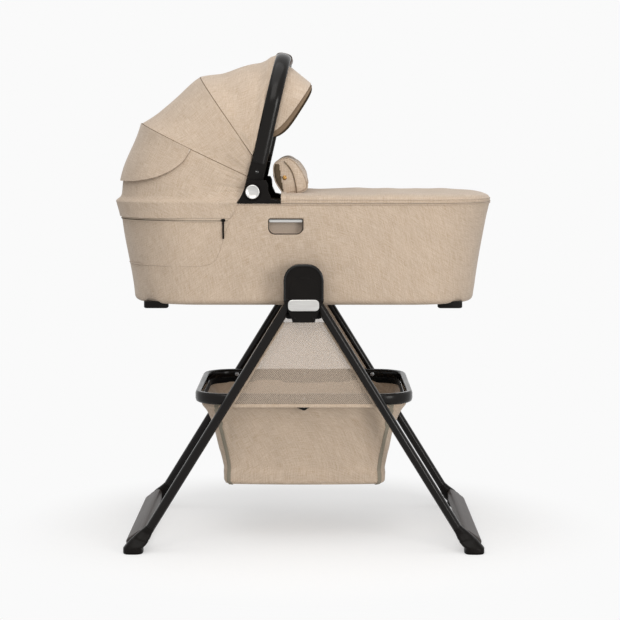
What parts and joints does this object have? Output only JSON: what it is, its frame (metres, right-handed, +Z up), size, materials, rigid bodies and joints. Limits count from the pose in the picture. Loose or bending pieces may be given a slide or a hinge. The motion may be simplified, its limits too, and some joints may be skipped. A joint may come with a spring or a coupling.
{
  "type": "bassinet with stand",
  "caption": "Cloth-covered bassinet with a fan canopy, turning carry handle and boot cover, on a folding A-frame stand with a hoop basket.",
  "frame": {"origin": "on the floor under the middle of the stand", "axes": "+X towards the foot end, +Y towards the right side, +Z up; the left side is -Y"},
  "size_m": [0.8425, 0.5534, 1.0762],
  "materials": {
    "satin_black_anodised": "satin black anodised",
    "black_moulded_plastic": "fine satin texture",
    "brown_black_moulding": "satin, slightly brown",
    "satin_silver": "satin silver coating",
    "zinc_plated_steel": "zinc plated",
    "grey_plastic": "plain moulded",
    "raw_aluminium": "mill finish",
    "aged_brass": "aged",
    "brown_leatherette": "grained leatherette",
    "beige_melange_cloth": "melange linen weave",
    "pale_lining_cloth": "smooth cotton weave",
    "taupe_moulding": "matt",
    "beige_zip_tape": "woven tape",
    "beige_net": "open net"
  },
  "bodies": {
    "hubs": {"hub_left": "black_moulded_plastic", "hub_right": "black_moulded_plastic", "hub_cover_left": "black_moulded_plastic", "hub_cover_right": "black_moulded_plastic", "hub_badge_left": "satin_silver", "hub_badge_right": "satin_silver", "side_net_left": "beige_net", "side_net_right": "beige_net", "basket_bin": "beige_melange_cloth"},
    "head_legs": {"head_leg_left": "satin_black_anodised", "head_leg_right": "satin_black_anodised", "head_shoe_left": "black_moulded_plastic", "head_shoe_right": "black_moulded_plastic", "head_hoop_pin_left": "zinc_plated_steel", "head_hoop_pin_right": "zinc_plated_steel", "head_crossbar": "brown_black_moulding"},
    "foot_legs": {"foot_leg_left": "satin_black_anodised", "foot_leg_right": "satin_black_anodised", "foot_shoe_left": "black_moulded_plastic", "foot_shoe_right": "black_moulded_plastic", "foot_hoop_pin_left": "zinc_plated_steel", "foot_hoop_pin_right": "zinc_plated_steel", "foot_crossbar": "brown_black_moulding"},
    "head_hoop": {"head_hoop": "satin_black_anodised"},
    "foot_hoop": {"foot_hoop": "satin_black_anodised"},
    "bassinet": {"base_tray": "black_moulded_plastic", "tub_cover": "beige_melange_cloth", "inner_liner": "pale_lining_cloth", "rim_frame": "raw_aluminium", "mattress": "pale_lining_cloth", "boot_cover": "beige_melange_cloth", "boot_flap": "beige_melange_cloth", "zip_tape": "beige_zip_tape", "canopy_rear": "beige_melange_cloth", "vent_flap": "beige_melange_cloth", "flap_snap_left": "aged_brass", "flap_snap_right": "aged_brass", "adapter_left": "black_moulded_plastic", "adapter_right": "black_moulded_plastic", "grab_cup_left": "taupe_moulding", "grab_cup_right": "taupe_moulding", "handle_base_left": "black_moulded_plastic", "handle_base_right": "black_moulded_plastic"},
    "handle": {"carry_handle": "satin_black_anodised", "handle_grip": "brown_leatherette", "canopy_front": "beige_melange_cloth", "handle_knuckle_left": "black_moulded_plastic", "handle_knuckle_right": "black_moulded_plastic"},
    "bow_front": {"bow_front": "grey_plastic", "canopy_middle": "beige_melange_cloth"},
    "bow_rear": {"bow_rear": "grey_plastic"},
    "visor": {"canopy_visor": "beige_melange_cloth"},
    "button_left": {"handle_button_left": "satin_silver"},
    "button_right": {"handle_button_right": "satin_silver"},
    "lever_left": {"release_lever_left": "satin_silver"},
    "lever_right": {"release_lever_right": "satin_silver"},
    "zip_slider": {"zip_slider": "black_moulded_plastic"}
  },
  "joints": [
    {"name": "head_fold", "type": "hinge", "parent": "hubs", "child": "head_legs", "pos_m": [-0.032, 0, 0.5355], "axis": [0, -1, 0], "range_deg": [0, 30], "deforming": ["basket_bin", "side_net_left", "side_net_right"]},
    {"name": "foot_fold", "type": "hinge", "parent": "hubs", "child": "foot_legs", "pos_m": [0.032, 0, 0.5355], "axis": [0, 1, 0], "range_deg": [0, 30]},
    {"name": "head_hoop_turn", "type": "hinge", "parent": "head_legs", "child": "head_hoop", "pos_m": [-0.16088, 0, 0.327], "axis": [0, -1, 0], "range_deg": [0, 50.79]},
    {"name": "foot_hoop_turn", "type": "hinge", "parent": "foot_legs", "child": "foot_hoop", "pos_m": [0.16088, 0, 0.327], "axis": [0, 1, 0], "range_deg": [0, 50.79]},
    {"name": "bassinet_lift", "type": "slide", "parent": "hubs", "child": "bassinet", "axis": [0, 0, 1], "range_m": [0, 0.12]},
    {"name": "handle_turn", "type": "hinge", "parent": "bassinet", "child": "handle", "pos_m": [-0.109, 0, 0.774], "axis": [0, -1, 0], "range_deg": [0, 70], "deforming": ["canopy_front", "canopy_middle", "canopy_rear", "vent_flap"]},
    {"name": "bow_front_turn", "type": "hinge", "parent": "bassinet", "child": "bow_front", "pos_m": [-0.109, 0, 0.774], "axis": [0, -1, 0], "range_deg": [0, 45.6]},
    {"name": "bow_rear_turn", "type": "hinge", "parent": "bassinet", "child": "bow_rear", "pos_m": [-0.109, 0, 0.774], "axis": [0, -1, 0], "range_deg": [0, 14.8]},
    {"name": "visor_turn", "type": "hinge", "parent": "handle", "child": "visor", "pos_m": [-0.07989, 0, 0.91094], "axis": [0, 1, 0], "range_deg": [0, 12]},
    {"name": "button_left_push", "type": "slide", "parent": "handle", "child": "button_left", "axis": [0, 1, 0], "range_m": [0, 0.003], "stiffness_N_per_m": 600},
    {"name": "button_right_push", "type": "slide", "parent": "handle", "child": "button_right", "axis": [0, -1, 0], "range_m": [0, 0.003], "stiffness_N_per_m": 600},
    {"name": "lever_left_pull", "type": "slide", "parent": "bassinet", "child": "lever_left", "axis": [0, 0, 1], "range_m": [0, 0.006], "stiffness_N_per_m": 300, "springref_m": -0.002},
    {"name": "lever_right_pull", "type": "slide", "parent": "bassinet", "child": "lever_right", "axis": [0, 0, 1], "range_m": [0, 0.006], "stiffness_N_per_m": 300, "springref_m": -0.002},
    {"name": "zip_pull", "type": "slide", "parent": "bassinet", "child": "zip_slider", "axis": [-1, 0, 0], "range_m": [0, 0.07]}
  ],
  "couplings": [
    {"joint": "foot_fold", "follows": "head_fold", "ratio": 1},
    {"joint": "head_hoop_turn", "follows": "head_fold", "ratio": 1.6895},
    {"joint": "foot_hoop_turn", "follows": "head_fold", "ratio": 1.6895},
    {"joint": "bow_front_turn", "follows": "handle_turn", "ratio": 0.65},
    {"joint": "bow_rear_turn", "follows": "handle_turn", "ratio": 0.21}
  ]
}
